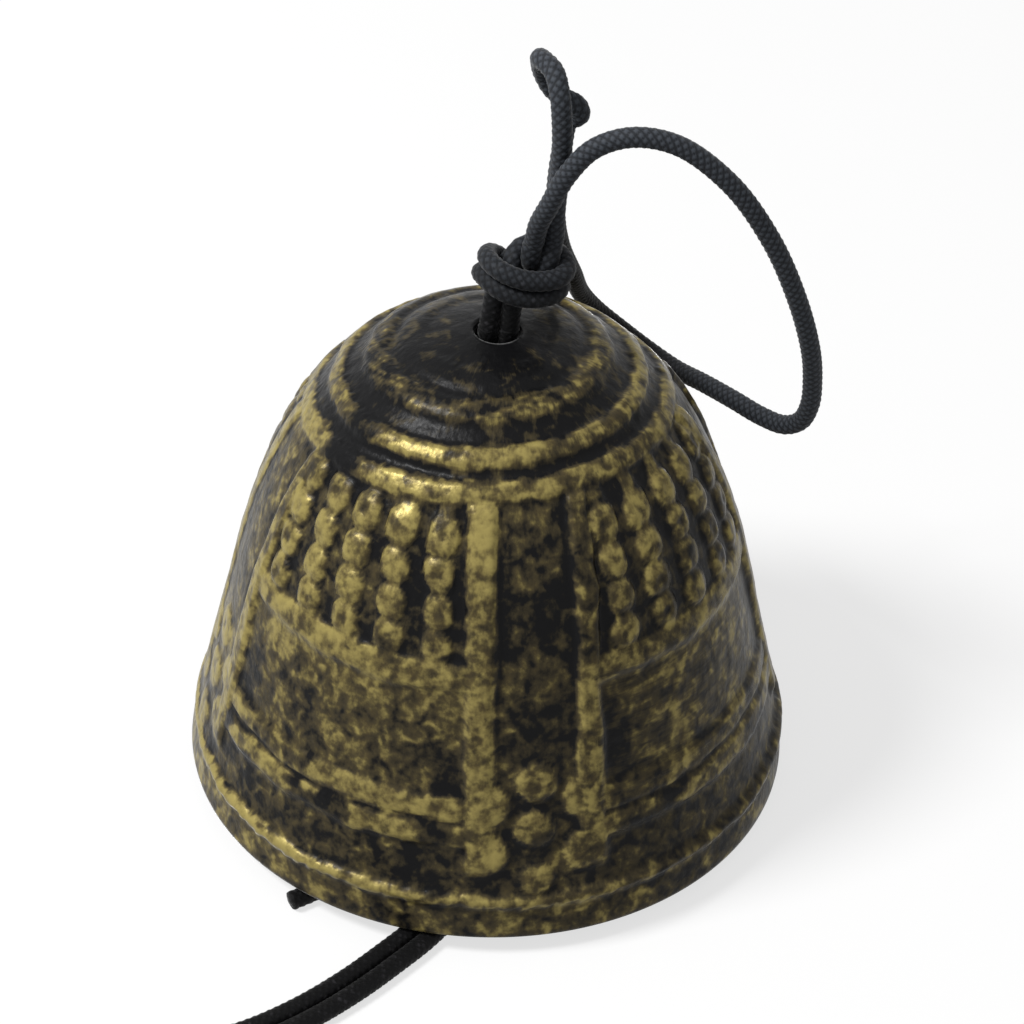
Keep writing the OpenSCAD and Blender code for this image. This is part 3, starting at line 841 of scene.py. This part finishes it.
        # The paint added on this band is painted sheen, standing for the grazing reflection along the
        # bell's left edge.
        self.paint += 0.22 * shallow * self.in_band * (z > SKIRT_Z)
        self.high = self.high * (1 - 0.6 * shallow)
        self.high = self.high + 0.10 * rough(p, 7, 3) + 0.07 * rough(p, 1.7, 5)


def outer_skin(az):
    """The outside with its relief: rows of points, the paint at them, and the plain rows'
    distance along the side and height."""
    r, z, run = side_profile()
    cos, sin, wide = np.cos(np.radians(az)), np.sin(np.radians(az)), np.ones(AROUND)
    plain = np.stack([np.outer(r, cos), np.outer(r, sin), np.outer(z, wide)], axis=-1)
    slope_r, slope_z = np.gradient(r), np.gradient(z)
    out = unit(np.stack([slope_z, -slope_r], axis=1))
    normal = np.stack([np.outer(out[:, 0], cos), np.outer(out[:, 0], sin),
                       np.outer(out[:, 1], wide)], axis=-1)
    relief = Relief(np.outer(np.ones(UP_SIDE), az), np.outer(r, wide), np.outer(z, wide), plain)
    relief.grounds()
    relief.round_ridges()
    relief.dome_rings()
    relief.band_ribs()
    relief.bosses()
    relief.rosettes()
    relief.wear()
    fade = ramp(run, 0, 1.2) * ramp(run[-1] - run, 0, 1.0)
    return plain + normal * (relief.high * fade[:, None])[..., None], relief.paint, run, z


def brush_strokes(az, along, outside):
    """Where each point lies in the brush marks, which run up and down the bell and, in one
    panel, round it. along is how far up each row of points lies, outside the first outer row."""
    cos, sin = np.cos(np.radians(az)), np.sin(np.radians(az))
    swept = np.abs(nearest_turn(az, SWEPT_AZ, 360)) < 45 - BAND_ANGLE / 2
    strokes = []
    for row, height in enumerate(along):
        flat = swept & (row >= outside) & (SWEPT[0] < height) & (height < SWEPT[1])
        turn = np.where(flat, 5, 25)
        rise = np.where(flat, 1.3 * height, height / 1.4)
        strokes.append(np.stack([turn * cos, turn * sin, rise], axis=1))
    return np.concatenate(strokes)


def bell_casting():
    """The casting as one closed mesh: relief outside, plain inside, a flat rim."""
    az = np.linspace(0, 360, AROUND, endpoint=False)
    cos, sin = np.cos(np.radians(az)), np.sin(np.radians(az))
    outer, paint, run, z = outer_skin(az)
    rings, gilt, along = [], [], []
    bare = -0.4  # No paint gets inside.

    def ring(radius, height, hold=bare):
        """A plain round row of points that holds this much paint."""
        rings.append(np.stack([radius * cos, radius * sin, np.full(AROUND, height)], axis=-1))
        gilt.append(np.full(AROUND, hold))
        along.append(height)

    # The inside, from the hole down to the rim.
    hollow_r = np.linspace(HOLE_D / 2, HOLLOW_WAIST_R * 0.86, 9)
    low = np.linspace(dome_z(hollow_r[-1], HOLLOW_WAIST_R, HOLLOW_H), 0.6, 11)[1:]
    for radius in hollow_r:
        ring(radius, dome_z(radius, HOLLOW_WAIST_R, HOLLOW_H))
    for height in low:
        ring(skin_r(height, HOLLOW_WAIST_R, HOLLOW_H), height)
    # The rim: its inner corner, its flat foot and the start of its round outer corner.
    ring(MOUTH_R + 0.1, 0.15)
    ring(MOUTH_R + 0.5, 0, 0.1)
    ring(FOOT_R, 0, 0.3)
    for a in (-60, -30):
        ring(FOOT_R + RIM_ROUND * math.cos(math.radians(a)),
             RIM_ROUND * (1 + math.sin(math.radians(a))), 0.45)
    # The outside, and the hole's wall down to the inside again.
    outside = len(rings)
    rings += list(outer)
    gilt += list(paint)
    along += list(run)
    for height in (0.7, 1.4):
        ring(HOLE_D / 2, z[-1] - height)
    piece = new_mesh(
        "bell_casting", bell_to_row(np.concatenate(rings)), ring_faces(len(rings), AROUND),
        {"gilt": np.concatenate(gilt), "brush": brush_strokes(az, along, outside)})
    dress(piece, GILT_IRON)
    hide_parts("bell_shell")
    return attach(piece, "bell")


bell_casting()

# ---------------------------------------------------------------- the clapper
DISC_SIDES = 160


def clapper_disc():
    """A sand-cast disc: slightly crowned faces, a soft rounded edge and a rough skin."""
    round_r, hole = 1, HOLE_D / 2
    edge = CLAPPER_D / 2 - round_r
    a = np.radians(np.linspace(-90, 90, 19))
    middle = np.where(a < 0, round_r, CLAPPER_T - round_r)
    turn = np.stack([edge + round_r * np.cos(a), middle + round_r * np.sin(a)], axis=1)
    flat = np.linspace(hole + 0.4, edge, 24)[:-1]
    low = np.stack([flat, 0 * flat], axis=1)
    high = np.stack([flat[::-1], CLAPPER_T + 0 * flat], axis=1)
    bore = np.array([(hole + 0.1, CLAPPER_T - 0.12), (hole, CLAPPER_T - 0.5),
                     (hole, CLAPPER_T / 2), (hole, 0.5), (hole + 0.1, 0.12)])
    profile = np.concatenate([low, turn, high, bore])
    az = np.linspace(0, 2 * np.pi, DISC_SIDES, endpoint=False)
    verts = np.stack([np.outer(profile[:, 0], np.cos(az)), np.outer(profile[:, 0], np.sin(az)),
                      np.outer(profile[:, 1], np.ones(DISC_SIDES))], axis=-1).reshape(-1, 3)
    out = unit(verts * (1, 1, 0) / edge * 0.6 + (verts - (0, 0, CLAPPER_T / 2)) * (0, 0, 0.6))
    verts = verts + out * (0.05 * rough(verts, 2.5, 71) - 0.04)[:, None]
    faces = ring_faces(len(profile), DISC_SIDES)
    piece = new_mesh("clapper_disc", verts + (PIVOT[0], PIVOT[1], CLAPPER_Z), faces)
    dress(piece, BARE_IRON)
    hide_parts("clapper")
    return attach(piece, "clapper")


clapper_disc()

# ---------------------------------------------------------------- floor and light
# How much light the floor and the room give back to the object, and the floor's own glow,
# which only the camera and reflections see.
FLOOR_COLOUR, FLOOR_GLOW, ROOM_LIGHT = 0.3, 0.69, 0.34
# The key light stands high on the left; places and sizes in this section are in metres.
KEY_PLACE, KEY_AIM, KEY_SIZE, KEY_POWER = (-0.5, -0.14, 0.72), (0, 0, 0.03), 0.26, 7.4
TABLE = 3


def floor():
    """A white table top; it looks white but lights the object like a mid grey one."""
    s = Shader("white_table")
    path = s.node("ShaderNodeLightPath").outputs
    seen = s.math("MAXIMUM", path["Is Camera Ray"], path["Is Glossy Ray"])
    seen = s.math("MAXIMUM", seen, path["Is Transmission Ray"])
    s.set(Base_Color=(*[FLOOR_COLOUR] * 3, 1), Roughness=0.9, Specular_IOR_Level=0.0)
    s.set(Emission_Color=(1, 1, 1, 1), Emission_Strength=s.math("MULTIPLY", seen, FLOOR_GLOW))
    mesh = bpy.data.meshes.new("table_top")
    corners = [(-TABLE, -TABLE, 0), (TABLE, -TABLE, 0), (TABLE, TABLE, 0), (-TABLE, TABLE, 0)]
    mesh.from_pydata(corners, [], [(0, 1, 2, 3)])
    mesh.materials.append(s.material)
    top = bpy.data.objects.new("table_top", mesh)
    bpy.context.scene.collection.objects.link(top)


def area_light(name, place, aim, size, power):
    """A soft round lamp that looks at a point."""
    data = bpy.data.lights.new(name, "AREA")
    data.shape, data.size, data.energy = "DISK", size, power
    lamp = bpy.data.objects.new(name, data)
    bpy.context.scene.collection.objects.link(lamp)
    lamp.location = place
    lamp.rotation_mode = "QUATERNION"
    lamp.rotation_quaternion = (Vector(aim) - Vector(place)).to_track_quat("-Z", "Y")


def sky():
    """A pale room all round, white to the camera and in reflections."""
    world = bpy.data.worlds.new("pale_room")
    bpy.context.scene.world = world
    world.use_nodes = True
    back = world.node_tree.nodes["Background"]
    path = world.node_tree.nodes.new("ShaderNodeLightPath")
    level = world.node_tree.nodes.new("ShaderNodeMapRange")
    level.inputs["To Min"].default_value = ROOM_LIGHT
    level.inputs["To Max"].default_value = 1.0
    seen = path.outputs["Is Camera Ray"]
    for kind in ("Is Glossy Ray", "Is Transmission Ray"):
        either = world.node_tree.nodes.new("ShaderNodeMath")
        either.operation = "MAXIMUM"
        world.node_tree.links.new(seen, either.inputs[0])
        world.node_tree.links.new(path.outputs[kind], either.inputs[1])
        seen = either.outputs[0]
    world.node_tree.links.new(seen, level.inputs["Value"])
    world.node_tree.links.new(level.outputs["Result"], back.inputs["Strength"])
    back.inputs["Color"].default_value = (1, 1, 1, 1)


floor()
sky()
area_light("key", KEY_PLACE, KEY_AIM, KEY_SIZE, KEY_POWER)
bpy.context.scene.view_settings.view_transform = "Standard"
